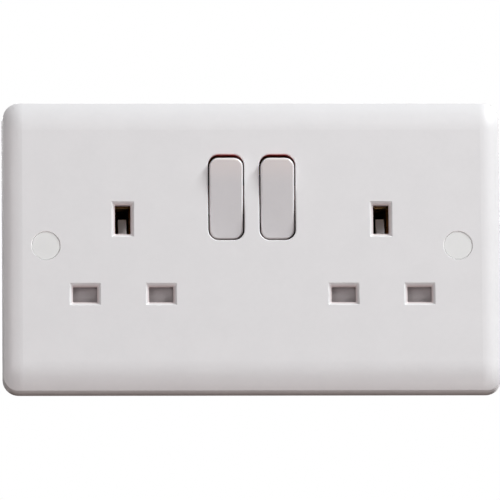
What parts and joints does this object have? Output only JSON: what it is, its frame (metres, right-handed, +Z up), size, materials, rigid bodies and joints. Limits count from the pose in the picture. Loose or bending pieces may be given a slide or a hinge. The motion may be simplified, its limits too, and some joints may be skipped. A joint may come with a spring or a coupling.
{
  "type": "two-gang switched wall socket",
  "caption": "Two-gang switched wall socket outlet with shuttered three-pin slots, rocker switches and covered fixing holes, for a flush wall box.",
  "frame": {"origin": "centre of the plate's back edge, on the wall plane", "axes": "+X to the right and +Z up as the user sees the face, +Y into the wall"},
  "size_m": [0.146, 0.0275, 0.086],
  "materials": {
    "white_plate": "white moulded urea, satin gloss",
    "white_rocker": "white moulded plastic, satin",
    "white_cap": "white moulded plastic, satin",
    "dark_moulding": "black moulded plastic, fine matt grain",
    "nylon": "natural white nylon",
    "brass": "stamped brass strip",
    "terminal_brass": "machined brass",
    "silver": "silver alloy contact",
    "plated_steel": "zinc-plated steel",
    "spring_steel": "spring wire"
  },
  "bodies": {
    "base": {"front_plate": "white_plate", "back_moulding": "dark_moulding", "neutral_bar": "brass", "feed_bar": "brass", "earth_bar": "brass", "clamp_screws": "plated_steel", "housing_screws": "plated_steel", "left_screw_cap": "white_cap", "left_fixed_tip": "silver", "left_line_contact": "brass", "left_shutter_spring": "spring_steel", "right_screw_cap": "white_cap", "right_fixed_tip": "silver", "right_line_contact": "brass", "right_shutter_spring": "spring_steel", "left_earth_terminal": "terminal_brass", "neutral_terminal": "terminal_brass", "line_terminal": "terminal_brass", "right_earth_terminal": "terminal_brass"},
    "left_rocker_body": {"left_rocker": "white_rocker", "left_plunger_spring": "spring_steel"},
    "left_plunger_body": {"left_plunger": "nylon"},
    "left_arm_body": {"left_contact_arm": "brass", "left_moving_tip": "silver"},
    "left_shutter_body": {"left_shutter": "nylon"},
    "right_rocker_body": {"right_rocker": "white_rocker", "right_plunger_spring": "spring_steel"},
    "right_plunger_body": {"right_plunger": "nylon"},
    "right_arm_body": {"right_contact_arm": "brass", "right_moving_tip": "silver"},
    "right_shutter_body": {"right_shutter": "nylon"}
  },
  "joints": [
    {"name": "left_rocker_tilt", "type": "hinge", "parent": "base", "child": "left_rocker_body", "pos_m": [-0.0075, -0.0052, 0.01445], "axis": [-1, 0, 0], "range_deg": [0, 15]},
    {"name": "left_plunger_slide", "type": "slide", "parent": "left_rocker_body", "child": "left_plunger_body", "axis": [0, 0.9914, 0.1305], "range_m": [-0.0008, 0], "stiffness_N_per_m": 900, "springref_m": 0.0015, "deforming": ["left_plunger_spring"]},
    {"name": "left_arm_tilt", "type": "hinge", "parent": "base", "child": "left_arm_body", "pos_m": [-0.0075, 0.0036, 0.01445], "axis": [1, 0, 0], "range_deg": [0, 11]},
    {"name": "left_shutter_slide", "type": "slide", "parent": "base", "child": "left_shutter_body", "axis": [0, 0, -1], "range_m": [0, 0.00535], "stiffness_N_per_m": 250, "springref_m": -0.004, "deforming": ["left_shutter_spring"]},
    {"name": "right_rocker_tilt", "type": "hinge", "parent": "base", "child": "right_rocker_body", "pos_m": [0.0075, -0.0052, 0.01445], "axis": [-1, 0, 0], "range_deg": [0, 15]},
    {"name": "right_plunger_slide", "type": "slide", "parent": "right_rocker_body", "child": "right_plunger_body", "axis": [0, 0.9914, 0.1305], "range_m": [-0.0008, 0], "stiffness_N_per_m": 900, "springref_m": 0.0015, "deforming": ["right_plunger_spring"]},
    {"name": "right_arm_tilt", "type": "hinge", "parent": "base", "child": "right_arm_body", "pos_m": [0.0075, 0.0036, 0.01445], "axis": [1, 0, 0], "range_deg": [0, 11]},
    {"name": "right_shutter_slide", "type": "slide", "parent": "base", "child": "right_shutter_body", "axis": [0, 0, -1], "range_m": [0, 0.00535], "stiffness_N_per_m": 250, "springref_m": -0.004, "deforming": ["right_shutter_spring"]}
  ],
  "couplings": [
    {"joint": "left_arm_tilt", "follows": "left_rocker_tilt", "ratio": 0.7333},
    {"joint": "right_arm_tilt", "follows": "right_rocker_tilt", "ratio": 0.7333}
  ]
}
